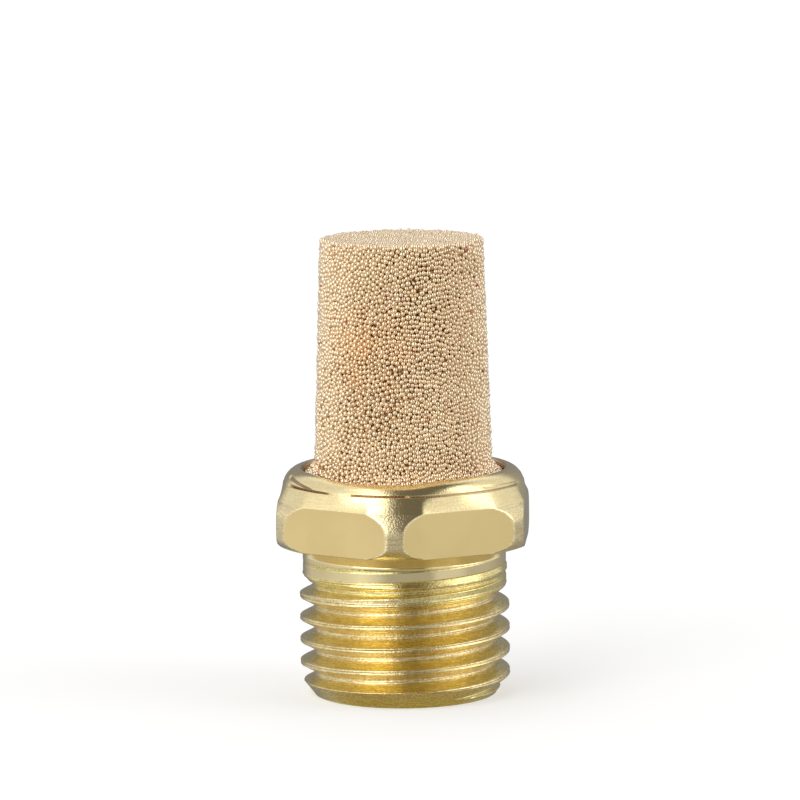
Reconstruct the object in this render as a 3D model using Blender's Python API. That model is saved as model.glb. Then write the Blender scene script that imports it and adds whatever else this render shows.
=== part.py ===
"""Pneumatic exhaust muffler: a sintered bronze cup held in a male-threaded brass hexagon body.

Metres, +Z up. The origin is the centre of the thread's end face, and +Z runs along the axis to the
closed end of the cup. Two of the hexagon's flats face +X and -X, so two corners face +Y and -Y.
"""
from math import acos, ceil, cos, degrees, radians, sin, sqrt, tan

import bmesh
import bpy

MM = 0.001

# Driving dimensions
OVERALL_LENGTH = 27.3 * MM
ACROSS_FLATS = 14.6 * MM
THREAD_DIAMETER = 12.5 * MM
THREAD_PITCH = 25.4 / 19 * MM
FIT_GAP = 0.3 * MM

# Thread: 55 degree form with a flat crest and root, right-handed
FLANK_ANGLE = radians(27.5)
THREAD_RADIUS = THREAD_DIAMETER / 2
THREAD_DEPTH = 0.6403 * THREAD_PITCH
ROOT_HALF_WIDTH = THREAD_PITCH / 12
FIRST_GROOVE_Z = 0.59 * MM
FLANK_OVERRUN = 0.1 * MM
GROOVE_OVERRUN = 0.4 * MM
RUN_IN_TURNS = 1.0
FULL_DEPTH_TURNS = 4.55
RUN_OUT_TURNS = 0.6
END_CHAMFER = 0.85 * MM
END_CHAMFER_HEIGHT = 1.06 * MM
THREAD_TOP_Z = 6.85 * MM

# Neck between the thread and the hexagon, undercut by a cone
LAND_RADIUS = 6.05 * MM
LAND_BOTTOM_Z = 7.0 * MM
LAND_TOP_Z = 8.4 * MM
UNDERCUT_RADIUS = 5.75 * MM
UNDERCUT_TOP_Z = 9.0 * MM

# Hexagon with turned corners, blending into the round rolled lip
HEX_BOTTOM_Z = 9.15 * MM
HEX_CORNER_RADIUS = 8.17 * MM
LOWER_CORNER_ARC = 0.9 * MM
LOWER_CORNER_HEIGHT = 0.87 * MM
UPPER_CORNER_ARC = 1.81 * MM
UPPER_CORNER_Z = 10.6 * MM
FLAT_TOP_Z = 11.87 * MM
CREASE_Z = 12.77 * MM
CREASE_RADIUS = 7.1 * MM
LIP_TOP_Z = 13.6 * MM
LIP_TOP_RADIUS = 6.2 * MM
LIP_EDGE_RADIUS = 6.0 * MM
LIP_THICKNESS = 0.6 * MM

# Passages inside the body
BORE_RADIUS = 4.3 * MM
BORE_CHAMFER = 0.3 * MM
SEAT_RADIUS = 6.35 * MM
SEAT_FLOOR_Z = 10.0 * MM

# Sintered cup
FLANGE_ROUNDING = 0.1 * MM
CUP_SHOULDER_Z = 13.4 * MM
CUP_TOP_RADIUS = 4.88 * MM
CUP_TOP_ROUNDING = 0.2 * MM
CUP_CONE_Z = 13.95 * MM
CUP_CONE_RADIUS = 5.32 * MM
CUP_MOUTH_RADIUS = 3.5 * MM
CUP_INNER_TOP_RADIUS = 3.05 * MM
CUP_END_THICKNESS = 2.0 * MM

BRASS_COLOUR = (0.78, 0.62, 0.30, 1.0)
BRONZE_COLOUR = (0.62, 0.42, 0.27, 1.0)

HALF_FLATS = ACROSS_FLATS / 2
CORNER_START = degrees(acos(HALF_FLATS / HEX_CORNER_RADIUS))
FLAT_SPLITS = 4
LIP_STEPS = 5
CUP_SEGMENTS = 48
SHARP_ANGLE = radians(20)
WELD_DISTANCE = 0.002 * MM


def clear_scene():
    for existing in list(bpy.data.objects):
        bpy.data.objects.remove(existing)


def metal(name, colour, roughness):
    material = bpy.data.materials.new(name)
    material.use_nodes = True
    shader = material.node_tree.nodes["Principled BSDF"]
    shader.inputs["Base Color"].default_value = colour
    shader.inputs["Metallic"].default_value = 1.0
    shader.inputs["Roughness"].default_value = roughness
    return material


def body_angles():
    """Directions of the body's vertices in degrees, with one on each edge of each turned corner."""
    angles = []
    for side in range(6):
        for step in range(-FLAT_SPLITS, FLAT_SPLITS + 1):
            angles.append(60 * side + CORNER_START * step / FLAT_SPLITS)
        angles.append(60 * side + 30)
    return angles


def round_ring(radius, height, angles):
    return [(radius * cos(radians(a)), radius * sin(radians(a)), height) for a in angles]


def hexagon_radius(angle, corner_radius):
    """Distance from the axis to a hexagon whose corners are turned down to corner_radius."""
    from_flat = radians((angle + 30) % 60 - 30)
    return min(corner_radius, HALF_FLATS / cos(from_flat))


def hexagon_ring(corner_radius, height, angles):
    radii = [hexagon_radius(a, corner_radius) for a in angles]
    return [(r * cos(radians(a)), r * sin(radians(a)), height) for r, a in zip(radii, angles)]


def arc_radius(arc, height):
    """Corner radius at a height above or below the middle of a corner rounded by an arc."""
    return HEX_CORNER_RADIUS - arc + sqrt(arc ** 2 - height ** 2)


def corner_stations(arc, middle_z, start, end, steps):
    """Corner radius and height at even steps along one of the corner's two arcs."""
    stations = []
    for step in range(steps + 1):
        offset = start + (end - start) * step / steps
        stations.append((arc_radius(arc, offset), middle_z + offset))
    return stations


def loft(name, rings, closed):
    """Skin a list of rings. A closed loft joins the last ring to the first, an open one is capped."""
    mesh = bpy.data.meshes.new(name)
    shape = bmesh.new()
    loops = [[shape.verts.new(point) for point in ring] for ring in rings]
    count = len(loops[0])
    following = loops[1:] + loops[:1] if closed else loops[1:]
    for lower, upper in zip(loops, following):
        for i in range(count):
            j = (i + 1) % count
            shape.faces.new((lower[i], lower[j], upper[j], upper[i]))
    if not closed:
        shape.faces.new(reversed(loops[0]))
        shape.faces.new(loops[-1])
    bmesh.ops.recalc_face_normals(shape, faces=shape.faces)
    shape.to_mesh(mesh)
    shape.free()
    item = bpy.data.objects.new(name, mesh)
    bpy.context.collection.objects.link(item)
    return item


def lip_stations():
    """Radius and height over the rolled lip: up its round back, over its edge, and back to the seat."""
    width = CREASE_RADIUS - LIP_TOP_RADIUS
    height = LIP_TOP_Z - CREASE_Z
    stations = []
    for step in range(LIP_STEPS + 1):
        around = radians(90 * step / LIP_STEPS)
        stations.append((LIP_TOP_RADIUS + width * cos(around), CREASE_Z + height * sin(around)))
    stations.append((LIP_EDGE_RADIUS, LIP_TOP_Z - LIP_TOP_RADIUS + LIP_EDGE_RADIUS))
    stations.append((LIP_EDGE_RADIUS, LIP_TOP_Z - LIP_THICKNESS))
    stations.append((SEAT_RADIUS, CREASE_Z))
    return stations


def body_blank():
    """The brass body before its thread is cut: one closed tube of rings, outside up, inside down."""
    angles = body_angles()
    end_radius = THREAD_RADIUS - END_CHAMFER
    thread_and_neck = [
        (end_radius, 0.0),
        (THREAD_RADIUS, END_CHAMFER_HEIGHT),
        (THREAD_RADIUS, THREAD_TOP_Z),
        (LAND_RADIUS, LAND_BOTTOM_Z),
        (LAND_RADIUS, LAND_TOP_Z),
        (UNDERCUT_RADIUS, UNDERCUT_TOP_Z),
        (LAND_RADIUS, HEX_BOTTOM_Z),
    ]
    lower_middle_z = HEX_BOTTOM_Z + LOWER_CORNER_HEIGHT
    corners = corner_stations(LOWER_CORNER_ARC, lower_middle_z, -LOWER_CORNER_HEIGHT, 0.0, 5)
    corners += corner_stations(UPPER_CORNER_ARC, UPPER_CORNER_Z, 0.0, FLAT_TOP_Z - UPPER_CORNER_Z, 4)
    passages = [
        (SEAT_RADIUS, SEAT_FLOOR_Z),
        (BORE_RADIUS, SEAT_FLOOR_Z),
        (BORE_RADIUS, BORE_CHAMFER),
        (BORE_RADIUS + BORE_CHAMFER, 0.0),
    ]
    rings = [round_ring(radius, height, angles) for radius, height in thread_and_neck]
    rings += [hexagon_ring(radius, height, angles) for radius, height in corners]
    rings += [round_ring(radius, height, angles) for radius, height in lip_stations() + passages]
    return loft("threaded_hex_body", rings, closed=True)


def thread_groove():
    """The thread's groove as one coil, running in below the end face and fading out into the neck."""
    half_angles = body_angles()
    turns = RUN_IN_TURNS + FULL_DEPTH_TURNS + RUN_OUT_TURNS
    fade_start = FULL_DEPTH_TURNS * 360
    mouth_half_width = ROOT_HALF_WIDTH + (THREAD_DEPTH + FLANK_OVERRUN) * tan(FLANK_ANGLE)
    rings = []
    for turn in range(ceil(turns)):
        for here, after in zip(half_angles, half_angles[1:] + [360 + half_angles[0]]):
            angle = (here + after) / 2 + 360 * (turn - RUN_IN_TURNS)
            if angle > fade_start + RUN_OUT_TURNS * 360:
                break
            height = FIRST_GROOVE_Z + THREAD_PITCH * angle / 360
            fade = max(0.0, (angle - fade_start) / (RUN_OUT_TURNS * 360))
            root = THREAD_RADIUS - THREAD_DEPTH * (1 - fade)
            mouth = root + THREAD_DEPTH + FLANK_OVERRUN
            outside = root + THREAD_DEPTH + GROOVE_OVERRUN
            section = [
                (root, -ROOT_HALF_WIDTH),
                (mouth, -mouth_half_width),
                (outside, -mouth_half_width),
                (outside, mouth_half_width),
                (mouth, mouth_half_width),
                (root, ROOT_HALF_WIDTH),
            ]
            turned = radians(angle)
            rings.append([(r * cos(turned), r * sin(turned), height + z) for r, z in section])
    groove = loft("thread_groove_cutter", rings, closed=False)
    groove.hide_render = True
    groove.hide_set(True)
    groove.display_type = "WIRE"
    return groove


def threaded_hex_body(parent):
    body = body_blank()
    cut = body.modifiers.new("thread", "BOOLEAN")
    cut.operation = "DIFFERENCE"
    cut.object = thread_groove()
    weld = body.modifiers.new("weld", "WELD")
    weld.merge_threshold = WELD_DISTANCE
    body.data.materials.append(metal("brass", BRASS_COLOUR, 0.18))
    body.parent = parent
    return body


def sintered_element(parent):
    """The cup: flange under the lip, tapered wall, flat closed end, and a hollow open to the bore."""
    angles = [360 * i / CUP_SEGMENTS for i in range(CUP_SEGMENTS)]
    flange_radius = SEAT_RADIUS - FIT_GAP
    flange_bottom_z = SEAT_FLOOR_Z + FIT_GAP
    shoulder_radius = LIP_EDGE_RADIUS - FIT_GAP
    flange_top_z = CREASE_Z - FIT_GAP
    stations = [
        (CUP_INNER_TOP_RADIUS, OVERALL_LENGTH - CUP_END_THICKNESS),
        (CUP_MOUTH_RADIUS, flange_bottom_z),
        (flange_radius, flange_bottom_z),
        (flange_radius, flange_top_z),
        (shoulder_radius, flange_top_z + FLANGE_ROUNDING),
        (shoulder_radius, CUP_SHOULDER_Z),
        (CUP_CONE_RADIUS, CUP_CONE_Z),
        (CUP_TOP_RADIUS, OVERALL_LENGTH - CUP_TOP_ROUNDING),
        (CUP_TOP_RADIUS - CUP_TOP_ROUNDING, OVERALL_LENGTH),
    ]
    rings = [round_ring(radius, height, angles) for radius, height in stations]
    cup = loft("sintered_element", rings, closed=False)
    cup.data.materials.append(metal("sintered_bronze", BRONZE_COLOUR, 0.45))
    cup.parent = parent
    return cup


def shade(item):
    item.data.shade_smooth()
    item.data.set_sharp_from_angle(angle=SHARP_ANGLE)


def main():
    clear_scene()
    muffler = bpy.data.objects.new("muffler", None)
    bpy.context.collection.objects.link(muffler)
    for piece in (threaded_hex_body(muffler), sintered_element(muffler)):
        shade(piece)


main()
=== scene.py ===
"""Looks of the pneumatic muffler: rolled and turned brass body, sintered bronze cup made of beads, studio."""

from math import cos, pi, radians, sin

import bmesh
import bpy
import numpy as np
from mathutils import Matrix, Vector, kdtree


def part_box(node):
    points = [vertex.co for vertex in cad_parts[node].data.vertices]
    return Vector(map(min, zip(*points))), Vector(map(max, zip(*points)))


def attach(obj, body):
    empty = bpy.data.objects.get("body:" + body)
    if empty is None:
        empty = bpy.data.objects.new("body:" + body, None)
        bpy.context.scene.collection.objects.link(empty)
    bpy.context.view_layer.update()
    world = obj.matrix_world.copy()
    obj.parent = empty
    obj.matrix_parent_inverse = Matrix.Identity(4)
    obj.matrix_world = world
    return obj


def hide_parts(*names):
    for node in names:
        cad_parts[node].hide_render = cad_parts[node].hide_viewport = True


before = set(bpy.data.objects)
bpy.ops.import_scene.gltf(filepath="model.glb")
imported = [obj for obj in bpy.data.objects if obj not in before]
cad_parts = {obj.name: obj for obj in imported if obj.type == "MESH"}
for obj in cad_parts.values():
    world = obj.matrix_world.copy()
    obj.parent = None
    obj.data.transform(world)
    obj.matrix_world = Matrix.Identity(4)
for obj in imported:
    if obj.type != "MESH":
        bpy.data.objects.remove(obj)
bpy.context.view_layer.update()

MM = 0.001
TINY = 1e-9
MERGE_DISTANCE = 1e-7
BODY_LOW, BODY_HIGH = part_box("threaded_hex_body")
CUP_LOW, CUP_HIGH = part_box("sintered_element")

# Thread, as on the CAD body: 55 degree form, 19 threads per inch, right-handed
PITCH = 25.4 / 19 * MM
CREST_RADIUS = 6.25 * MM
THREAD_DEPTH = 0.6403 * PITCH
LAND_RADIUS = 6.05 * MM
ROOT_DROP = THREAD_DEPTH - CREST_RADIUS + LAND_RADIUS
ROOT_HALF_WIDTH = 1 / 12
FLANK_SLOPE = 1.921
FIRST_GROOVE_Z = 0.59 * MM
CREST_BLEND = 0.3
EDGE_BLEND = 0.07 * MM
END_RADIUS = 5.4 * MM
END_CHAMFER_SLOPE = 0.8
THREAD_COLUMNS = 180
ROWS_PER_PITCH = 70

# Where the thread changes, in turns along it from the first groove, and the depth of its last, shallow part
FADE_IN_TURNS = (-0.35, 0.05)
ROUGH_TURNS = (3.4, 4.4)
FADE_OUT_TURNS = (4.42, 4.84)
CREST_FADE_TURNS = (4.45, 5.3)
SHALLOW_END_TURNS = (5.0, 5.3)
SHALLOW_DEPTH = 0.15

# Marks of the rolling. Places and widths between two grooves are in pitches
CREST_SEAM_DEPTH = 0.045 * MM
CREST_SEAM_WIDTH = 0.035
RIPPLE = 0.03 * MM
LINES_PER_PITCH = (5, 7, 9, 11, 14, 17)
LINE_SLIDE = 2.2
SMOOTH_FLANK = (0.55, 0.92)
SMOOTH_FLANK_EDGE = 0.08
SMOOTH_FLANK_LOSS = 0.8

# Run-out under the neck's land. Edges, steps and starts are in pitches above the last groove
RUN_OUT_EDGE = 0.52
RUN_OUT_SLOPE = 0.95
NOTCH_DEPTH = 0.1 * MM
NOTCH_STEP = 0.06
CONE_SLOPE = 0.5
CONE_START = 0.15
CONE_EDGE = 0.1
CONE_LOSS = 0.85

# Neck, and the air passage through the body
LAND_TOP_Z = 8.4 * MM
UNDERCUT_RADIUS = 5.75 * MM
UNDERCUT_TOP_Z = 9.0 * MM
LAND_ROUNDING = 0.008 * MM
BORE_RADIUS = 4.3 * MM
BORE_CHAMFER = 0.3 * MM
SMALL_ROUNDING = 0.08 * MM

# Hexagon with turned corners
HALF_FLATS = BODY_HIGH.x
CORNER_RADIUS = BODY_HIGH.y
HEX_BOTTOM_Z = 9.15 * MM
FLAT_TOP_Z = 11.87 * MM
LOWER_CORNER_ARC = 0.88 * MM
LOWER_CORNER_Z = HEX_BOTTOM_Z + LOWER_CORNER_ARC
UPPER_CORNER_Z = 10.5 * MM
TOP_CORNER_RADIUS = 7.66 * MM
TOP_CORNER_SLOPE = -1.0
CORNER_BLEND = 0.05 * MM

# Rolled lip, and the seat behind it
CREASE_Z = 12.77 * MM
CREASE_RADIUS = 7.16 * MM
LIP_START = 25
# Folds in the lip: first and last angle in degrees, height over the crease at each, depth. They fade out
# over FOLD_FADE of their length at both ends, and carry painted shade where they are deeper than
# PAINTED_SHADE_DEPTH
FOLDS = ((-158, -123, 0.06 * MM, 0.04 * MM, 0.22 * MM), (-164, -134, 0.52 * MM, 0.1 * MM, 0.14 * MM),
         (-114, -82, 0.05 * MM, 0.04 * MM, 0.22 * MM), (-96, -8, 0.04 * MM, 0.04 * MM, 0.075 * MM),
         (-46, -12, 0.3 * MM, 0.14 * MM, 0.05 * MM), (0, 70, 0.03 * MM, 0.03 * MM, 0.16 * MM),
         (82, 130, 0.03 * MM, 0.05 * MM, 0.14 * MM), (140, 190, 0.04 * MM, 0.02 * MM, 0.1 * MM))
FOLD_WIDTH = 0.075 * MM
FOLD_FADE = 0.12
PAINTED_SHADE_DEPTH = 0.055 * MM
LIP_TOP_Z = BODY_HIGH.z
LIP_TOP_RADIUS = 6.2 * MM
LIP_EDGE_RADIUS = 6.02 * MM
LIP_THICKNESS = 0.6 * MM
LIP_DIP = 0.22 * MM
LIP_DIP_ANGLE = radians(-103)
LIP_DIP_WIDTH = radians(32)
SEAT_RADIUS = 6.35 * MM
SEAT_FLOOR_Z = 10.0 * MM

# Sintered cup
CUP_TOP_Z = CUP_HIGH.z
CUP_TOP_RADIUS = 4.88 * MM
CUP_TOP_ROUNDING = 0.2 * MM
CUP_CONE_Z = 13.95 * MM
CUP_CONE_RADIUS = 5.32 * MM
CUP_SHOULDER_Z = 13.1 * MM
CUP_SHOULDER_RADIUS = 6.08 * MM
CUP_FLANGE_RADIUS = 6.0 * MM
CUP_BOTTOM_Z = CUP_LOW.z
CAVITY_MOUTH_RADIUS = 3.5 * MM
CAVITY_END_RADIUS = 3.05 * MM
CAVITY_END_Z = CUP_TOP_Z - 2.0 * MM
FLANGE_CHAMFER_Z = (CUP_SHOULDER_Z - 0.7 * MM, CUP_SHOULDER_Z - 0.9 * MM)
CORE_COLUMNS = 96

# Beads. What follows the first two is in bead radii
BEAD_RADIUS = 0.15 * MM
BEADS_PER_PIECE = 2400
BEAD_SPREAD = 0.1
BEAD_SMALLEST = 0.75
BEAD_LARGEST = 1.25
BEAD_OUT_OF_ROUND = 0.03
BEAD_UNEVENNESS = 0.7
BEAD_REACH = 2.6
BEAD_TOUCH = 0.97
CORE_DEPTH = 3.0


def link(name, mesh):
    """A new object in the scene."""
    item = bpy.data.objects.new(name, mesh)
    bpy.context.scene.collection.objects.link(item)
    return item


def grid_faces(rows, columns, seam_shift=0):
    """Faces of a grid that closes round the axis. Across the seam the rows are seam_shift further on."""
    index = np.arange(rows * columns).reshape(rows, columns)
    inner = np.stack([index[:-1, :-1], index[:-1, 1:], index[1:, 1:], index[1:, :-1]], axis=-1)
    last = index[: rows - seam_shift, -1]
    first = index[seam_shift:, 0]
    seam = np.stack([last[:-1], first[:-1], first[1:], last[1:]], axis=-1)
    return np.vstack([inner.reshape(-1, 4), seam])


def skin(name, grids):
    """One mesh object from several grids of points that share their border rings."""
    points = []
    faces = []
    total = 0
    for grid, seam_shift in grids:
        rows, columns = grid.shape[:2]
        faces.append(grid_faces(rows, columns, seam_shift) + total)
        points.append(grid.reshape(-1, 3))
        total += rows * columns
    mesh = bpy.data.meshes.new(name)
    mesh.from_pydata(np.vstack(points), [], np.vstack(faces).tolist())
    shape = bmesh.new()
    shape.from_mesh(mesh)
    bmesh.ops.remove_doubles(shape, verts=shape.verts, dist=MERGE_DISTANCE)
    bmesh.ops.recalc_face_normals(shape, faces=shape.faces)
    shape.to_mesh(mesh)
    shape.free()
    mesh.shade_smooth()
    return link(name, mesh)


def around(radii, heights, angles):
    """Points round the axis from radii, heights and angles, each given per row, per column or both."""
    radii, heights, angles = np.broadcast_arrays(radii, heights, angles)
    return np.stack([radii * np.cos(angles), radii * np.sin(angles), heights], axis=-1)


def smooth_min(first, second, blend):
    """The smaller of two values, rounded off where they are within blend of each other."""
    gap = np.maximum(blend - np.abs(first - second), 0)
    return np.minimum(first, second) - gap ** 2 / (4 * blend)


def smooth_max(first, second, blend):
    """The larger of two values, rounded off in the same way."""
    return -smooth_min(-first, -second, blend)


def smooth_step(value):
    """A smooth rise from 0 to 1, level before and after."""
    value = np.clip(value, 0, 1)
    return value * value * (3 - 2 * value)


def arc(middle_radius, middle_z, radius, start, end, steps):
    """Radius and height along an arc of the profile, with angles in degrees from outwards."""
    turn = np.radians(np.linspace(start, end, steps))
    return np.stack([middle_radius + radius * np.cos(turn), middle_z + radius * np.sin(turn)], axis=-1)


def straight(start, end, steps):
    """Points of radius and height along a straight line of the profile."""
    return np.linspace(start, end, steps)


def rings(profile, angles):
    """Round rings from a profile of radius and height."""
    profile = np.asarray(profile)
    return around(profile[:, 0, None], profile[:, 1, None], angles[None, :])


def fading_out(travelled, turns):
    """1 before the first of two numbers of turns along the thread, 0 after the second."""
    return smooth_step((turns[1] - travelled) / (turns[1] - turns[0]))


def groove_depth(travelled):
    """How deep a groove is pressed, from 0 to 1, after so many turns from the end of the thread."""
    start, full = FADE_IN_TURNS
    deep = (1 - SHALLOW_DEPTH) * fading_out(travelled, FADE_OUT_TURNS)
    shallow = SHALLOW_DEPTH * fading_out(travelled, SHALLOW_END_TURNS)
    return smooth_step((travelled - start) / (full - start)) * (deep + shallow)


def groove_surface(depth, crest, away):
    """Radius beside one groove, from its depth, its crest and the distance from its middle in pitches."""
    root = LAND_RADIUS - ROOT_DROP * depth
    flank = root + (away - ROOT_HALF_WIDTH) * PITCH * FLANK_SLOPE
    return smooth_min(smooth_max(root, flank, EDGE_BLEND), crest, EDGE_BLEND)


def run_out(surface, share, depth, last_turn):
    """Ends the thread under the neck's land: a gentler flank where the last groove is deep, then a notch."""
    below = np.maximum(RUN_OUT_EDGE - share, 0)
    notch = NOTCH_DEPTH * (1 - depth) * smooth_step(below / NOTCH_STEP)
    cone = LAND_RADIUS - notch + below * PITCH * CONE_SLOPE
    flank = LAND_RADIUS + (share - RUN_OUT_EDGE * depth) * PITCH * RUN_OUT_SLOPE
    cap = np.where(below > 0, np.minimum(cone, flank), LAND_RADIUS)
    return surface - last_turn * np.maximum(surface - cap, 0)


def rolled_lines(travelled, share, random):
    """Fine uneven lines that the rolling leaves from one groove, at share 0, up to the next, at share 1."""
    total = 0
    for cycles in LINES_PER_PITCH:
        phase, drift, wander = random.uniform(0, 2 * pi, 3)
        slide = LINE_SLIDE * np.sin(2 * pi * (travelled + share) * (0.3 + 0.4 * drift) + wander)
        total = total + np.sin(2 * pi * cycles * share + phase + slide) / len(LINES_PER_PITCH)
    start, end = SMOOTH_FLANK
    smooth = smooth_step((share - start) / SMOOTH_FLANK_EDGE) * smooth_step((end - share) / SMOOTH_FLANK_EDGE)
    return total * (1 - SMOOTH_FLANK_LOSS * smooth)


def thread_radius(turns, heights):
    """Radius of the rolled thread at an angle, in turns, and a height above the end face."""
    along = (heights - FIRST_GROOVE_Z) / PITCH - turns
    share = along - np.floor(along)
    travelled = np.floor(along) + turns
    lower_depth = groove_depth(travelled)
    upper_depth = groove_depth(travelled + 1)
    lower_raised = fading_out(travelled, CREST_FADE_TURNS)
    upper_raised = fading_out(travelled + 1, CREST_FADE_TURNS)
    over_land = CREST_RADIUS - LAND_RADIUS
    lower = groove_surface(lower_depth, LAND_RADIUS + over_land * lower_raised, share)
    upper = groove_surface(upper_depth, LAND_RADIUS + over_land * upper_raised, 1 - share)
    blend = smooth_step((share - 0.5) / CREST_BLEND + 0.5)
    surface = run_out(lower + (upper - lower) * blend, share, lower_depth, 1 - upper_raised)
    seam = CREST_SEAM_DEPTH * lower_depth * upper_depth * np.exp(-((share - 0.5) / CREST_SEAM_WIDTH) ** 2)
    lines = rolled_lines(travelled, share, np.random.default_rng(3))
    smooth_cone = (1 - lower_depth) * (1 - upper_raised) * smooth_step((share - CONE_START) / CONE_EDGE)
    pressed = lower_raised * np.where(share < RUN_OUT_EDGE, 1 - CONE_LOSS * smooth_cone, upper_raised)
    rough = 2 - fading_out(travelled, ROUGH_TURNS)
    return surface - seam + RIPPLE * lines * pressed * rough


def neck_and_thread():
    """The male thread, neck land, end face and bore. The thread's rows follow the helix."""
    turns = np.arange(THREAD_COLUMNS) / THREAD_COLUMNS
    angles = 2 * pi * turns
    low = SMALL_ROUNDING
    high = LAND_TOP_Z - LAND_ROUNDING
    rows = np.arange(-ROWS_PER_PITCH, int(high / PITCH * ROWS_PER_PITCH) + 2)
    heights = np.clip(rows[:, None] * PITCH / ROWS_PER_PITCH + PITCH * turns[None, :], low, high)
    chamfer = END_RADIUS + END_CHAMFER_SLOPE * heights
    radii = smooth_min(thread_radius(turns[None, :], heights), chamfer, EDGE_BLEND)
    outside = around(radii, heights, angles[None, :])
    end_edge = arc(0.0, SMALL_ROUNDING, SMALL_ROUNDING, 0, -90, 5)
    end_radii = radii[:1] - SMALL_ROUNDING + end_edge[:, 0, None]
    rounded_end = around(end_radii, end_edge[:, 1, None], angles[None, :])
    margin = 4 * SMALL_ROUNDING
    land_edge = LAND_RADIUS - LAND_ROUNDING
    passage = np.vstack([
        straight((END_RADIUS - margin, 0.0), (BORE_RADIUS + BORE_CHAMFER, 0.0), 4),
        straight((BORE_RADIUS, BORE_CHAMFER), (BORE_RADIUS, LAND_TOP_Z), 8),
        straight((BORE_RADIUS + margin, LAND_TOP_Z), (land_edge, LAND_TOP_Z), 4),
        arc(land_edge, LAND_TOP_Z - LAND_ROUNDING, LAND_ROUNDING, 90, 0, 6),
    ])
    inside = np.concatenate([rounded_end, rings(passage, angles)])
    return skin("neck_and_thread", [(outside, ROWS_PER_PITCH), (inside, 0)])


def hexagon_angles():
    """Column angles, close together where the flats meet the turned corners."""
    half_side = np.concatenate([[0, 4, 8, 12, 15], np.arange(16, 28.4, 0.4), [29]])
    side = np.concatenate([half_side, [30], 60 - half_side[:0:-1]])
    return np.radians(np.concatenate([60 * k + side for k in range(6)]))


def curve(value, start, end, start_slope, end_slope):
    """A smooth curve between two (place, height) points that leaves and arrives at the given slopes."""
    length = end[0] - start[0]
    share = np.clip((value - start[0]) / length, 0, 1)
    rest = 1 - share
    points = start[1] * rest ** 2 * (1 + 2 * share) + end[1] * share ** 2 * (1 + 2 * rest)
    return points + length * share * rest * (start_slope * rest - end_slope * share)


def corner_radius(heights):
    """Radius of the turned corners: an arc, a curve up to the flats' tops, a straight shoulder to the lip."""
    below = np.clip(LOWER_CORNER_Z - heights, 0, LOWER_CORNER_ARC)
    lower_fall = LOWER_CORNER_ARC - np.sqrt(LOWER_CORNER_ARC ** 2 - below ** 2)
    top_corner = (FLAT_TOP_Z, TOP_CORNER_RADIUS)
    upper = curve(heights, (UPPER_CORNER_Z, CORNER_RADIUS), top_corner, 0, TOP_CORNER_SLOPE)
    climbed = np.clip((heights - FLAT_TOP_Z) / (CREASE_Z - FLAT_TOP_Z), 0, 1)
    shoulder = TOP_CORNER_RADIUS + (CREASE_RADIUS - TOP_CORNER_RADIUS) * climbed
    return np.where(heights > FLAT_TOP_Z, shoulder, upper - lower_fall)


def sides_radius(angles, heights):
    """The hexagon's sides: flats between turned corners, and above them a shoulder up to the round lip."""
    from_flat = (angles + pi / 6) % (pi / 3) - pi / 6
    flat = HALF_FLATS / np.cos(from_flat)
    side = smooth_min(flat, corner_radius(np.minimum(heights, FLAT_TOP_Z)), CORNER_BLEND)
    shoulder = (corner_radius(heights) - CREASE_RADIUS) / (TOP_CORNER_RADIUS - CREASE_RADIUS)
    return CREASE_RADIUS + (side - CREASE_RADIUS) * np.where(heights > FLAT_TOP_Z, shoulder, 1.0)


def fold_depth(angles, above):
    """How far the folds press the lip in, by angle and by height over the crease."""
    depth = 0
    for start, end, start_height, end_height, deepest in FOLDS:
        along = (np.degrees(angles) - start) % 360 / (end - start)
        ends = smooth_step(along / FOLD_FADE) * smooth_step((1 - along) / FOLD_FADE)
        middle = start_height + (end_height - start_height) * np.clip(along, 0, 1)
        depth = np.maximum(depth, deepest * ends * np.exp(-((above - middle) / FOLD_WIDTH) ** 2))
    return depth


def lip_rings(angles):
    """The rolled lip from its crease to the inner edge, with its folds and one stretch pressed lower."""
    turn = np.radians(np.concatenate([np.arange(LIP_START, 60), np.arange(60, 91, 2)]))
    height = LIP_TOP_Z - CREASE_Z
    climb = (np.sin(turn) - np.sin(turn[0])) / (1 - np.sin(turn[0]))
    reach = (CREASE_RADIUS - LIP_TOP_RADIUS) / np.cos(turn[0])
    outside = np.stack([LIP_TOP_RADIUS + reach * np.cos(turn), CREASE_Z + height * climb], axis=-1)
    rounding = LIP_TOP_RADIUS - LIP_EDGE_RADIUS
    profile = np.vstack([
        outside,
        arc(LIP_TOP_RADIUS, LIP_TOP_Z - rounding, rounding, 90, 180, 9)[1:],
        [(LIP_EDGE_RADIUS, LIP_TOP_Z - LIP_THICKNESS)],
    ])
    above = profile[:, 1, None] - CREASE_Z
    folds = fold_depth(angles[None, :], above)
    folds[len(outside):] = 0
    away = (angles - LIP_DIP_ANGLE + pi) % (2 * pi) - pi
    dip = LIP_DIP * np.exp(-(away / LIP_DIP_WIDTH) ** 4)
    share = np.clip(above / height, 0, 1)
    return around(profile[:, 0, None] - folds, profile[:, 1, None] - share * dip[None, :], angles[None, :])


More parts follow.
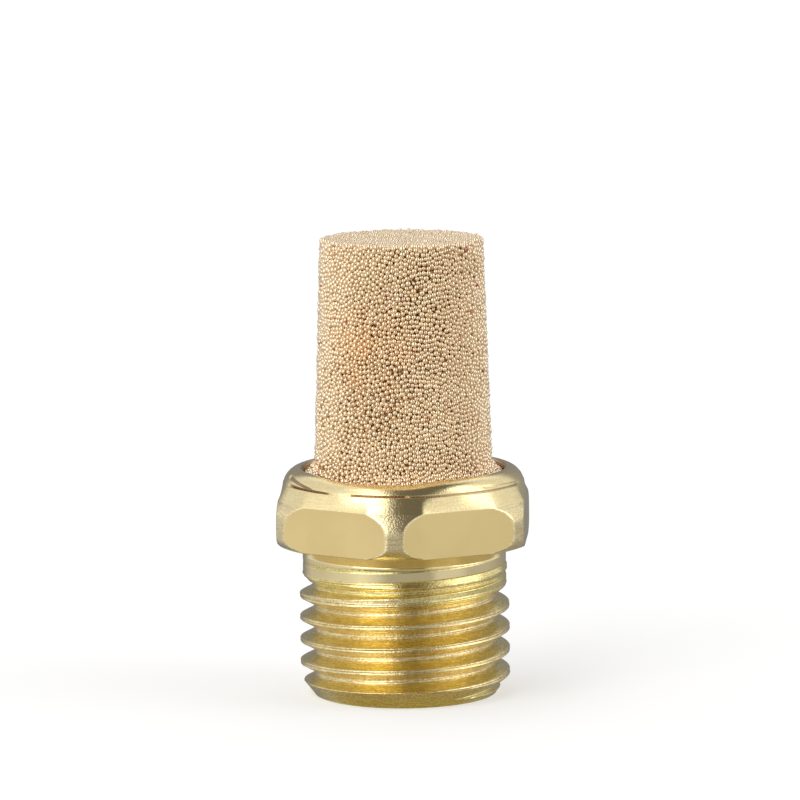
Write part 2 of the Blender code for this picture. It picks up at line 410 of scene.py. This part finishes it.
def hexagon_and_lip():
    """Relief under the hexagon, the hexagon, shoulder, lip and seat as one closed loop of rings."""
    angles = hexagon_angles()
    foot = (LAND_RADIUS - LAND_ROUNDING, LAND_TOP_Z)
    corner = HEX_BOTTOM_Z - UNDERCUT_TOP_Z
    underside = np.vstack([
        [(foot[0] - LAND_ROUNDING, LAND_TOP_Z - 2 * SMALL_ROUNDING)],
        straight(foot, (UNDERCUT_RADIUS, UNDERCUT_TOP_Z), 8),
        arc(UNDERCUT_RADIUS + corner, UNDERCUT_TOP_Z, corner, 180, 90, 8)[1:],
        [(LAND_RADIUS + SMALL_ROUNDING, HEX_BOTTOM_Z)],
    ])
    low_z = HEX_BOTTOM_Z + SMALL_ROUNDING
    edge = arc(0.0, low_z, SMALL_ROUNDING, -90, 0, 6)
    edge_radii = sides_radius(angles[None, :], np.full((1, 1), low_z)) - SMALL_ROUNDING + edge[:, 0, None]
    bottom_edge = around(edge_radii, edge[:, 1, None], angles[None, :])
    # Rows stand close together where the flats end
    heights = np.concatenate([
        np.linspace(low_z, FLAT_TOP_Z - 0.06 * MM, 68)[1:],
        np.linspace(FLAT_TOP_Z - 0.04 * MM, FLAT_TOP_Z + 0.04 * MM, 5),
        np.linspace(FLAT_TOP_Z + 0.07 * MM, CREASE_Z, 24),
    ])
    sides = around(sides_radius(angles[None, :], heights[:, None]), heights[:, None], angles[None, :])
    passages = np.array([
        (SEAT_RADIUS, CREASE_Z),
        (SEAT_RADIUS, SEAT_FLOOR_Z),
        (BORE_RADIUS, SEAT_FLOOR_Z),
        (BORE_RADIUS, LAND_TOP_Z - 2 * SMALL_ROUNDING),
        tuple(underside[0]),
    ])
    outside = [rings(underside, angles), bottom_edge, sides, lip_rings(angles)]
    loop = np.concatenate([*outside, rings(passages, angles)])
    return skin("hexagon_and_lip", [(loop, 0)])


def offset_profile(profile, depth):
    """The profile moved to its inner side by depth, each corner where its two moved sides meet."""
    profile = np.asarray(profile, float)
    along = np.diff(profile, axis=0)
    along /= np.linalg.norm(along, axis=1)[:, None]
    outward = np.stack([-along[:, 1], along[:, 0]], axis=-1)
    before = np.vstack([outward[:1], outward])
    after = np.vstack([outward, outward[-1:]])
    mitre = (before + after) / (1 + np.sum(before * after, axis=1))[:, None]
    moved = profile - depth * mitre
    moved[:, 0] = np.maximum(moved[:, 0], 0)
    return moved


def from_axis(points):
    """How far points are from the thread's axis."""
    return np.hypot(points[:, 0], points[:, 1])


def onto_profile(points, profile, depth):
    """Moves points to the nearest place on the surface that the profile sweeps, then inwards by depth."""
    radial = from_axis(points)
    flat = np.stack([radial, points[:, 2]], axis=-1)
    start = profile[:-1]
    step = profile[1:] - start
    share = np.sum((flat[:, None] - start) * step, axis=2) / np.sum(step * step, axis=1)
    near = start + np.clip(share, 0, 1)[:, :, None] * step
    best = np.argmin(np.sum((flat[:, None] - near) ** 2, axis=2), axis=1)
    inward = np.stack([step[:, 1], -step[:, 0]], axis=-1) / np.linalg.norm(step, axis=1)[:, None]
    chosen = near[np.arange(len(points)), best] + inward[best] * depth[:, None]
    chosen[:, 0] = np.maximum(chosen[:, 0], 0)
    scale = chosen[:, 0] / np.maximum(radial, TINY)
    return np.stack([points[:, 0] * scale, points[:, 1] * scale, chosen[:, 1]], axis=-1)


def scatter(profile, count, random):
    """Random points, evenly spread over the surface that the profile sweeps round the axis."""
    step = np.diff(profile, axis=0)
    area = np.linalg.norm(step, axis=1) * (profile[:-1, 0] + profile[1:, 0])
    band = random.choice(len(area), count, p=area / area.sum())
    low = profile[band, 0]
    high = profile[band + 1, 0]
    square = low ** 2 + random.random(count) * (high ** 2 - low ** 2)
    linear = random.random(count)
    sloped = np.abs(high - low) > TINY
    radius = np.where(sloped, np.sqrt(square), low)
    share = np.where(sloped, (radius - low) / np.where(sloped, high - low, 1), linear)
    height = profile[band, 1] + share * step[band, 1]
    angle = 2 * pi * random.random(count)
    return np.stack([radius * np.cos(angle), radius * np.sin(angle), height], axis=-1)


def surface_area(profile):
    """Area of the surface that the profile sweeps round the axis."""
    step = np.linalg.norm(np.diff(profile, axis=0), axis=1)
    return pi * np.sum(step * (profile[:-1, 0] + profile[1:, 0]))


def near_pairs(points, reach):
    """Every two points that are within reach of each other, by index."""
    tree = kdtree.KDTree(len(points))
    for i, point in enumerate(points):
        tree.insert(point, i)
    tree.balance()
    pairs = []
    for i, point in enumerate(points):
        for _, j, _ in tree.find_range(point, reach):
            if j > i:
                pairs.append((i, j))
    return np.array(pairs)


def pack_beads(profile, cover, random, rounds=30, rounds_per_search=6, push_share=0.45):
    """Bead centres and radii: points at random on the surface and just under it, pushed apart to rest."""
    count = int(cover * surface_area(profile) / (pi * BEAD_RADIUS ** 2))
    radii = BEAD_RADIUS * np.clip(random.normal(1.0, BEAD_SPREAD, count), BEAD_SMALLEST, BEAD_LARGEST)
    depth = BEAD_UNEVENNESS * BEAD_RADIUS * random.random(count)
    points = onto_profile(scatter(profile, count, random), profile, depth)
    for turn in range(rounds):
        if turn % rounds_per_search == 0:
            pairs = near_pairs(points, BEAD_REACH * BEAD_RADIUS)
        first, second = pairs.T
        apart = points[first] - points[second]
        distance = np.maximum(np.linalg.norm(apart, axis=1), TINY)
        overlap = np.maximum(BEAD_TOUCH * (radii[first] + radii[second]) - distance, 0)
        push = apart / distance[:, None] * (push_share * overlap)[:, None]
        for axis in range(3):
            points[:, axis] += np.bincount(first, push[:, axis], count)
            points[:, axis] -= np.bincount(second, push[:, axis], count)
        points = onto_profile(points, profile, depth)
    return points, radii


def bead_mesh(name, centres, radii, random):
    """Small spheres, each turned at random and a little out of round, as one mesh."""
    shape = bmesh.new()
    bmesh.ops.create_icosphere(shape, subdivisions=2, radius=1.0)
    ball = np.array([v.co for v in shape.verts])
    ball_faces = np.array([[v.index for v in f.verts] for f in shape.faces])
    shape.free()
    count = len(centres)
    turn = np.linalg.qr(random.normal(size=(count, 3, 3)))[0]
    stretch = 1 + random.normal(0, BEAD_OUT_OF_ROUND, (count, 1, 3))
    points = (ball[None] * stretch) @ turn
    points = points * radii[:, None, None] + centres[:, None, :]
    flip = np.linalg.det(turn) < 0
    faces = np.where(flip[:, None, None], ball_faces[None, :, ::-1], ball_faces[None])
    faces = faces + (np.arange(count) * len(ball))[:, None, None]
    mesh = bpy.data.meshes.new(name)
    mesh.from_pydata(points.reshape(-1, 3), [], faces.reshape(-1, 3).tolist())
    mesh.shade_smooth()
    return link(name, mesh)


def outer_profile():
    """The cup's outer profile, from the middle of its closed end to its shoulder under the lip."""
    return [
        (0.0, CUP_TOP_Z),
        (CUP_TOP_RADIUS - CUP_TOP_ROUNDING, CUP_TOP_Z),
        (CUP_TOP_RADIUS, CUP_TOP_Z - CUP_TOP_ROUNDING),
        (CUP_CONE_RADIUS, CUP_CONE_Z),
        (CUP_SHOULDER_RADIUS, CUP_SHOULDER_Z),
    ]


def cavity_profile():
    """The cup's inner wall, from its mouth up to the middle of the closed end."""
    return [(CAVITY_MOUTH_RADIUS, CUP_BOTTOM_Z), (CAVITY_END_RADIUS, CAVITY_END_Z), (0.0, CAVITY_END_Z)]


def bead_pieces(name, profile, depth, cover, random):
    """One uneven layer of beads under a surface, in meshes small enough to handle."""
    centres, radii = pack_beads(offset_profile(profile, depth), cover, random)
    order = np.argsort(-centres[:, 2])
    chunks = np.array_split(order, int(np.ceil(len(order) / BEADS_PER_PIECE)))
    pieces = []
    for k, chunk in enumerate(chunks):
        pieces.append(bead_mesh(f"{name}_{k + 1}", centres[chunk], radii[chunk], random))
    return pieces


def cup_core():
    """The cup's mass behind the visible beads: a closed shell between its outer and inner wall."""
    angles = np.linspace(0, 2 * pi, CORE_COLUMNS, endpoint=False)
    outside = offset_profile(outer_profile(), CORE_DEPTH * BEAD_RADIUS)
    inside = offset_profile(cavity_profile(), BEAD_RADIUS)
    flange = [
        (outside[-1, 0], FLANGE_CHAMFER_Z[0]),
        (CUP_FLANGE_RADIUS, FLANGE_CHAMFER_Z[1]),
        (CUP_FLANGE_RADIUS, CUP_BOTTOM_Z),
    ]
    return skin("cup_core", [(rings(np.vstack([outside, flange, inside]), angles), 0)])


class Nodes:
    """Short ways to add and join shader nodes."""

    def __init__(self, tree):
        self.tree = tree

    def add(self, kind, inputs=None, **settings):
        """A new node with its settings, and its inputs as links or as fixed values."""
        node = self.tree.nodes.new("ShaderNode" + kind)
        for key, value in settings.items():
            setattr(node, key, value)
        for key, value in (inputs or {}).items():
            if isinstance(value, bpy.types.NodeSocket):
                self.tree.links.new(value, node.inputs[key])
            else:
                node.inputs[key].default_value = value
        return node

    def math(self, operation, first, second=0.0):
        return self.add("Math", {0: first, 1: second}, operation=operation).outputs[0]

    def ramp(self, value, low, high, bottom=0.0, top=1.0):
        """A value that goes smoothly from bottom to top while the given one goes from low to high."""
        inputs = {"Value": value, "From Min": low, "From Max": high, "To Min": bottom, "To Max": top}
        return self.add("MapRange", inputs, interpolation_type="SMOOTHSTEP").outputs[0]

    def mix(self, share, first, second):
        return self.add("Mix", {0: share, 6: first, 7: second}, data_type="RGBA").outputs[2]

    def join(self, output, shader, socket):
        self.tree.links.new(output, shader.inputs[socket])


def new_material(name):
    """A metal, its shader and its nodes."""
    made = bpy.data.materials.new(name)
    made.use_nodes = True
    shader = made.node_tree.nodes["Principled BSDF"]
    shader.inputs["Metallic"].default_value = 1.0
    return made, shader, Nodes(made.node_tree)


def brass(name, light, dark, roughness, rings_depth, grain_depth, streaked=False):
    """Brass with marks in rings and a fine grain. Its two tints lie in clouds, or streaked along marks."""
    made, shader, nodes = new_material(name)
    place = nodes.add("TexCoord").outputs["Object"]
    parts = nodes.add("SeparateXYZ", {0: place})
    flat = nodes.add("CombineXYZ", {0: parts.outputs[0], 1: parts.outputs[1]}).outputs[0]
    radius = nodes.add("VectorMath", {0: flat}, operation="LENGTH").outputs["Value"]
    heading = nodes.add("VectorMath", {0: flat}, operation="NORMALIZE").outputs[0]
    tall = nodes.add("CombineXYZ", {2: nodes.math("MULTIPLY", parts.outputs[2], 1 / MM)}).outputs[0]
    ring_place = nodes.add("VectorMath", {0: heading, 1: tall}, operation="ADD").outputs[0]
    wide = nodes.math("MULTIPLY", radius, 1 / MM)
    ring_inputs = {"Vector": ring_place, "W": wide, "Scale": 9.0, "Detail": 4.0, "Roughness": 0.7}
    marks = nodes.add("TexNoise", ring_inputs, noise_dimensions="4D").outputs["Fac"]
    grain_inputs = {"Vector": place, "Scale": 9000.0, "Detail": 3.0, "Roughness": 0.6}
    grain = nodes.add("TexNoise", grain_inputs).outputs["Fac"]
    worn = nodes.math("MULTIPLY", marks, grain)
    if streaked:
        share = nodes.ramp(worn, 0.19, 0.31)
    else:
        clouds = nodes.add("TexNoise", {"Vector": place, "Scale": 300.0, "Detail": 3.0}).outputs["Fac"]
        share = nodes.ramp(clouds, 0.35, 0.65)
    nodes.join(nodes.mix(share, (*light, 1), (*dark, 1)), shader, "Base Color")
    nodes.join(nodes.ramp(worn, 0.1, 0.4, 0.75 * roughness, 1.35 * roughness), shader, "Roughness")
    first = nodes.add("Bump", {"Distance": rings_depth * MM, "Height": marks})
    second = nodes.add("Bump", {"Distance": grain_depth * MM, "Height": grain, "Normal": first.outputs[0]})
    nodes.join(second.outputs[0], shader, "Normal")
    return made


def sintered_bronze():
    """Bright bronze beads: straw to tan in fine variation, a copper-coloured patch and small red specks."""
    made, shader, nodes = new_material("sintered_bronze")
    place = nodes.add("TexCoord").outputs["Object"]
    beads = nodes.add("TexNoise", {"Vector": place, "Scale": 3000.0, "Detail": 2.0}).outputs["Fac"]
    clouds = nodes.add("TexNoise", {"Vector": place, "Scale": 420.0, "Detail": 4.0}).outputs["Fac"]
    specks = nodes.add("TexNoise", {"Vector": place, "Scale": 1400.0, "Detail": 1.0}).outputs["Fac"]
    straw = nodes.mix(nodes.ramp(beads, 0.35, 0.65), (0.97, 0.80, 0.58, 1), (0.90, 0.70, 0.47, 1))
    patch_middle = Vector((-1.6, -4.6, 21.0)) * MM
    away = nodes.add("VectorMath", {0: place, 1: patch_middle}, operation="DISTANCE").outputs["Value"]
    patch = nodes.ramp(away, 1.0 * MM, 3.4 * MM, 1.0, 0.0)
    copper = nodes.math("MULTIPLY", patch, nodes.ramp(clouds, 0.35, 0.6))
    warm = nodes.mix(copper, straw, (0.96, 0.70, 0.45, 1))
    red = nodes.ramp(specks, 0.72, 0.76)
    nodes.join(nodes.mix(red, warm, (0.62, 0.25, 0.16, 1)), shader, "Base Color")
    nodes.join(nodes.ramp(beads, 0.3, 0.7, 0.16, 0.3), shader, "Roughness")
    shader.inputs["Metallic"].default_value = 0.88
    return made


def pore_shade_bronze():
    """The deep pores between the beads: dull bronze, painted dark brown as the shade deep in the pores."""
    made, shader, nodes = new_material("pore_bronze_painted_shade")
    place = nodes.add("TexCoord").outputs["Object"]
    lumps = nodes.add("TexNoise", {"Vector": place, "Scale": 3500.0, "Detail": 2.0}).outputs["Fac"]
    # Painted shade: the dark brown stands in for the shadow deep between the beads
    nodes.join(nodes.mix(lumps, (0.5, 0.3, 0.13, 1), (0.66, 0.44, 0.22, 1)), shader, "Base Color")
    shader.inputs["Metallic"].default_value = 0.3
    shader.inputs["Roughness"].default_value = 0.6
    nodes.join(nodes.add("Bump", {"Distance": 0.05 * MM, "Height": lumps}).outputs[0], shader, "Normal")
    return made


def face_places(mesh):
    """The middle and the normal of every face."""
    count = len(mesh.polygons)
    middles = np.empty(3 * count)
    normals = np.empty(3 * count)
    mesh.polygons.foreach_get("center", middles)
    mesh.polygons.foreach_get("normal", normals)
    return middles.reshape(-1, 3), normals.reshape(-1, 3)


def give_faces(mesh, chosen, material):
    """Adds a material and gives it to the chosen faces."""
    index = np.empty(len(mesh.polygons), np.int32)
    mesh.polygons.foreach_get("material_index", index)
    index[chosen] = len(mesh.materials)
    mesh.polygons.foreach_set("material_index", index)
    mesh.materials.append(material)


def flats(mesh):
    """The hexagon's flats: upright faces in its six side planes."""
    middles, normals = face_places(mesh)
    in_plane = np.abs(np.sum(middles * normals, axis=1) - HALF_FLATS) < 0.004 * MM
    upright = np.abs(normals[:, 2]) < 0.01
    return in_plane & upright


def turned_corners(mesh):
    """The hexagon's turned corners between its flats, which keep marks from the lathe's interrupted cut."""
    middles, _ = face_places(mesh)
    side = (middles[:, 2] > HEX_BOTTOM_Z + SMALL_ROUNDING) & (middles[:, 2] < FLAT_TOP_Z)
    return side & (from_axis(middles) > HALF_FLATS) & ~flats(mesh)


def undercut(mesh):
    """The undercut between the neck's land and the hexagon."""
    middles, _ = face_places(mesh)
    return (middles[:, 2] < HEX_BOTTOM_Z) & (from_axis(middles) > UNDERCUT_RADIUS - SMALL_ROUNDING)


def painted_shade_faces(mesh):
    """Faces that carry painted shade: the bottoms of the folds, the lip's inner edge and the seat under it.
    """
    middles, normals = face_places(mesh)
    radius = from_axis(middles)
    faces_inwards = -np.sum(middles[:, :2] * normals[:, :2], axis=1) / radius > 0.35
    inside = faces_inwards & (middles[:, 2] > SEAT_FLOOR_Z)
    angles = np.arctan2(middles[:, 1], middles[:, 0])
    folded = fold_depth(angles, middles[:, 2] - CREASE_Z) > PAINTED_SHADE_DEPTH
    return inside | (folded & (radius > LIP_TOP_RADIUS) & (middles[:, 2] > CREASE_Z))


def land(mesh):
    """The neck's smooth land above the thread."""
    middles, normals = face_places(mesh)
    at_land = np.abs(from_axis(middles) - LAND_RADIUS) < 0.006 * MM
    upright = np.abs(normals[:, 2]) < 0.1
    return at_land & upright


def scuffed_sides(mesh):
    """The thread's roots, crests and the flanks that face down, where rolling leaves the metal rougher."""
    middles, normals = face_places(mesh)
    radius = from_axis(middles)
    outside = (radius > CREST_RADIUS - 1.2 * THREAD_DEPTH) & (middles[:, 2] > FIRST_GROOVE_Z)
    crests = (radius > CREST_RADIUS - 0.12 * THREAD_DEPTH) & (radius > LAND_RADIUS + SMALL_ROUNDING)
    roots = radius < CREST_RADIUS - 0.8 * THREAD_DEPTH
    facing_down = normals[:, 2] < -0.5
    return outside & (facing_down | roots | crests)


def camera():
    """A long lens, a little above and to the right of -Y, turned slightly."""
    distance = 289 * MM
    elevation = radians(8.5)
    azimuth = radians(4)
    roll = radians(-0.55)
    data = bpy.data.cameras.new("camera")
    item = link("camera", data)
    middle = Vector((0, 0, (BODY_LOW.z + CUP_HIGH.z) / 2))
    away = Vector((sin(azimuth) * cos(elevation), -cos(azimuth) * cos(elevation), sin(elevation)))
    item.location = middle + away * distance
    look = (-away).to_track_quat("-Z", "Y")
    item.rotation_euler = (look.to_matrix() @ Matrix.Rotation(roll, 3, "Z")).to_euler()
    data.sensor_width = 36
    data.lens = 219
    data.shift_x = -0.0043
    data.shift_y = 0.0812
    data.clip_start = 0.01
    bpy.context.scene.camera = item


def light_round(nodes, place, stops):
    """Brightness by direction round the axis: pairs of azimuth from the front, in degrees, and light."""
    ramp = nodes.add("ValToRGB", {0: place})
    elements = ramp.color_ramp.elements
    while len(elements) < len(stops):
        elements.new(0.5)
    for element, (azimuth, light) in zip(elements, stops):
        element.position = (azimuth + 180) / 360
        element.color = (light, light, light, 1)
    return ramp.outputs[0]


def studio():
    """A bright studio all round: soft boxes on both sides, a dark gap in front and dim warm light below."""
    world = bpy.data.worlds.new("studio")
    bpy.context.scene.world = world
    world.use_nodes = True
    nodes = Nodes(world.node_tree)
    back = world.node_tree.nodes["Background"]
    direction = nodes.add("SeparateXYZ", {0: nodes.add("TexCoord").outputs["Generated"]})
    across = direction.outputs[0]
    forward = nodes.math("MULTIPLY", direction.outputs[1], -1)
    height = direction.outputs[2]
    azimuth = nodes.math("ARCTAN2", across, forward)
    place = nodes.add("MapRange", {"Value": azimuth, "From Min": -pi, "From Max": pi}).outputs[0]
    low = light_round(nodes, place, [
        (-180, 0.25), (-152, 0.28), (-128, 0.6), (-100, 0.64), (-60, 0.8), (-46, 0.94), (-28, 0.7),
        (-14, 0.42), (35, 0.42), (41, 0.7), (70, 0.72), (84, 0.5), (112, 0.5), (135, 0.4), (160, 0.32),
        (180, 0.25),
    ])
    high = light_round(nodes, place, [
        (-180, 1.2), (-140, 0.8), (-110, 0.8), (-80, 1.0), (-58, 1.1), (-52, 2.5), (-16, 2.5),
        (-6, 1.2), (30, 0.9), (58, 0.9), (66, 1.9), (96, 1.9), (104, 0.9), (135, 0.8), (180, 1.2),
    ])
    light = nodes.mix(nodes.ramp(height, -0.04, 0.1), low, high)
    to_the_back = nodes.ramp(forward, -0.82, -0.7, 1.0, 0.0)
    behind = nodes.math("MULTIPLY", to_the_back, nodes.ramp(height, 0.45, 0.6, 1.0, 0.0))
    light = nodes.mix(behind, light, low)
    light = nodes.mix(nodes.ramp(height, 0.85, 0.97), light, (2.0, 2.0, 2.0, 1))
    gap = nodes.math("MULTIPLY", nodes.ramp(across, -0.26, -0.12), nodes.ramp(across, 0.42, 0.54, 1.0, 0.0))
    in_front = nodes.math("MULTIPLY", nodes.ramp(forward, -0.5, -0.2), nodes.ramp(height, 0.02, 0.1))
    light = nodes.mix(nodes.math("MULTIPLY", gap, in_front), light, (0.15, 0.14, 0.125, 1))
    light = nodes.mix(nodes.ramp(height, -0.85, -0.45, 1.0, 0.0), light, (0.37, 0.31, 0.16, 1))
    seen = nodes.add("LightPath").outputs["Is Camera Ray"]
    nodes.join(nodes.mix(seen, light, (1, 1, 1, 1)), back, "Color")
    bpy.context.scene.view_settings.view_transform = "Standard"


def floor():
    """A pale floor that is as light as the studio round it."""
    reach = 3.0
    corners = [(-reach, -reach, 0), (reach, -reach, 0), (reach, reach, 0), (-reach, reach, 0)]
    mesh = bpy.data.meshes.new("floor")
    mesh.from_pydata(corners, [], [(0, 1, 2, 3)])
    item = link("floor", mesh)
    pale = bpy.data.materials.new("floor")
    pale.use_nodes = True
    shader = pale.node_tree.nodes["Principled BSDF"]
    shader.inputs["Base Color"].default_value = (0.65, 0.65, 0.65, 1)
    shader.inputs["Roughness"].default_value = 0.9
    shader.inputs["Emission Color"].default_value = (1, 1, 1, 1)
    shader.inputs["Emission Strength"].default_value = 0.42
    mesh.materials.append(pale)
    item.visible_glossy = False


def body_pieces():
    """The brass body in two pieces, each with its finishes."""
    turned = brass("brass_turned", (0.95, 0.80, 0.45), (0.86, 0.71, 0.38), 0.14, 0.004, 0.008, streaked=True)
    polished = brass("brass_polished", (0.93, 0.79, 0.45), (0.88, 0.73, 0.40), 0.14, 0.003, 0.004)
    drawn = brass("brass_drawn", (0.90, 0.705, 0.335), (0.86, 0.665, 0.305), 0.16, 0.0003, 0.001)
    rolled = brass("brass_rolled", (0.94, 0.81, 0.38), (0.74, 0.60, 0.23), 0.14, 0.008, 0.012, streaked=True)
    scuffed = brass("brass_scuffed", (0.98, 0.83, 0.46), (0.74, 0.58, 0.29), 0.18, 0.014, 0.02, streaked=True)
    chattered = brass("brass_chattered", (0.98, 0.84, 0.50), (0.80, 0.65, 0.35), 0.17, 0.005, 0.014,
                      streaked=True)
    # Painted shade: a dark brass where shadow falls in the folds, on the lip's inner edge and in the seat
    painted_shade_brass = brass("brass_painted_shade", (0.60, 0.43, 0.26), (0.44, 0.29, 0.18), 0.25, 0.004, 0.01)
    thread = neck_and_thread()
    thread.data.materials.append(rolled)
    give_faces(thread.data, scuffed_sides(thread.data), scuffed)
    give_faces(thread.data, land(thread.data), polished)
    hexagon = hexagon_and_lip()
    hexagon.data.materials.append(turned)
    give_faces(hexagon.data, flats(hexagon.data), drawn)
    give_faces(hexagon.data, turned_corners(hexagon.data), chattered)
    give_faces(hexagon.data, undercut(hexagon.data), polished)
    # The painted shade goes on the fold bottoms, the lip's inner edge and the seat
    give_faces(hexagon.data, painted_shade_faces(hexagon.data), painted_shade_brass)
    for piece in (thread, hexagon):
        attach(piece, "root")
        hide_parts("threaded_hex_body")


def cup_pieces():
    """The cup as layers of beads round a core. A layer has its depth in bead radii, and how full it is."""
    random = np.random.default_rng(7)
    layers = [
        ("outer_beads", outer_profile(), 1.0, 1.02),
        ("second_beads", outer_profile(), 2.3, 1.0),
        ("cavity_beads", cavity_profile(), 0.4, 0.9),
    ]
    pieces = []
    for name, profile, depth, cover in layers:
        pieces += bead_pieces(name, profile, depth * BEAD_RADIUS, cover, random)
    beads = sintered_bronze()
    for piece in pieces:
        piece.data.materials.append(beads)
    core = cup_core()
    core.data.materials.append(pore_shade_bronze())
    for piece in [*pieces, core]:
        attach(piece, "root")
        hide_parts("sintered_element")


body_pieces()
cup_pieces()
camera()
studio()
floor()
